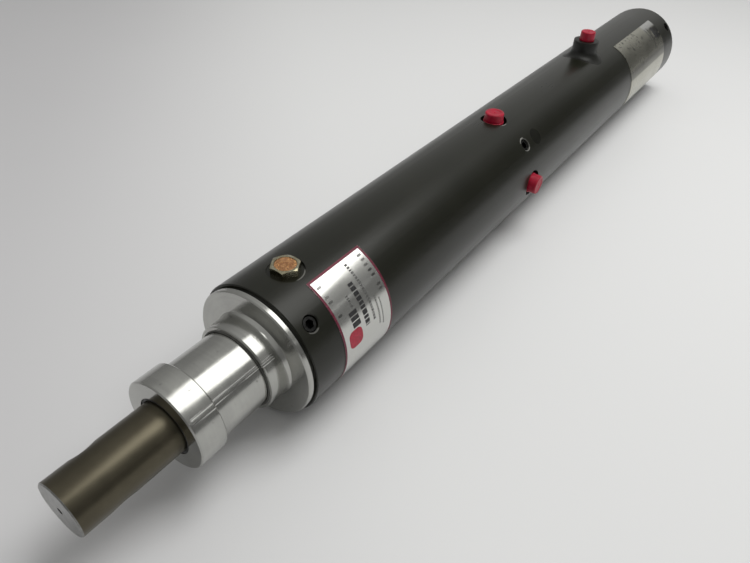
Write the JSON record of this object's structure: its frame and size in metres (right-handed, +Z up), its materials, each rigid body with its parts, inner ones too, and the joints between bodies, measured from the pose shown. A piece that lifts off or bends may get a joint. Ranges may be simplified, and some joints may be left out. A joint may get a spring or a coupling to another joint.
{
  "type": "telescopic hydraulic cylinder",
  "caption": "Long black tube cylinder with a bright flanged gland, a collared telescopic sleeve, a dark rod, flush and welded side ports, a breather and labels.",
  "frame": {"origin": "on the cylinder's axis at the front end face of the barrel", "axes": "+X along the axis towards the rod's tip, +Z up through the top port, +Y towards the side that carries the labels"},
  "size_m": [0.6415, 0.0744, 0.0881],
  "materials": {
    "barrel": "satin black hard-anodised tube",
    "nose_metal": "fine turned, bright",
    "rod_metal": "dark bronze-grey, satin ground",
    "inner_metal": "as machined",
    "inner_steel": "ground",
    "bronze": "plain bearing bronze",
    "wear_tape": "filled plastic",
    "seal": "matt black",
    "wiper": "matt black",
    "screw": "black oxide",
    "breather_metal": "zinc plated",
    "breather_bronze": "sintered bronze grains",
    "boss": "satin black",
    "plug": "soft moulded, slightly glossy",
    "front_label": "printed foil",
    "rear_label": "worn foil"
  },
  "bodies": {
    "barrel": {"barrel_tube": "barrel", "front_gland": "nose_metal", "gland_bearing": "bronze", "gland_seal": "seal", "gland_wiper": "wiper", "gland_o_ring": "seal", "set_screws": "screw", "breather_body": "breather_metal", "breather_element": "breather_bronze", "centre_head": "inner_metal", "centre_head_o_rings": "seal", "ram_bearing": "bronze", "ram_seal": "seal", "port_boss": "boss", "port_plug_top": "plug", "port_plug_side": "plug", "port_plug_rear": "plug", "stroke_spacer": "inner_metal", "rear_cap": "inner_metal", "rear_cap_o_ring": "seal", "front_label": "front_label", "rear_label": "rear_label"},
    "first_stage": {"stage_sleeve": "nose_metal", "stage_piston": "inner_metal", "stage_piston_seal": "seal", "stage_wear_band": "wear_tape", "stage_stop_tube": "inner_metal", "rod_bush": "bronze", "rod_seal": "seal", "rod_wiper": "wiper"},
    "rod_stage": {"rod": "rod_metal", "rod_piston": "inner_metal", "rod_piston_seal": "seal", "rod_wear_band": "wear_tape", "rod_piston_nut": "inner_steel"},
    "booster": {"air_piston": "inner_metal", "air_piston_seals": "seal", "air_wear_band": "wear_tape", "ram": "inner_steel", "ram_nut": "inner_steel"}
  },
  "joints": [
    {"name": "stage_slide", "type": "slide", "parent": "barrel", "child": "first_stage", "axis": [1, 0, 0], "range_m": [-0.025, 0.083]},
    {"name": "rod_slide", "type": "slide", "parent": "first_stage", "child": "rod_stage", "axis": [1, 0, 0], "range_m": [-0.022, 0.098]},
    {"name": "booster_slide", "type": "slide", "parent": "barrel", "child": "booster", "axis": [1, 0, 0], "range_m": [0, 0.03]}
  ]
}
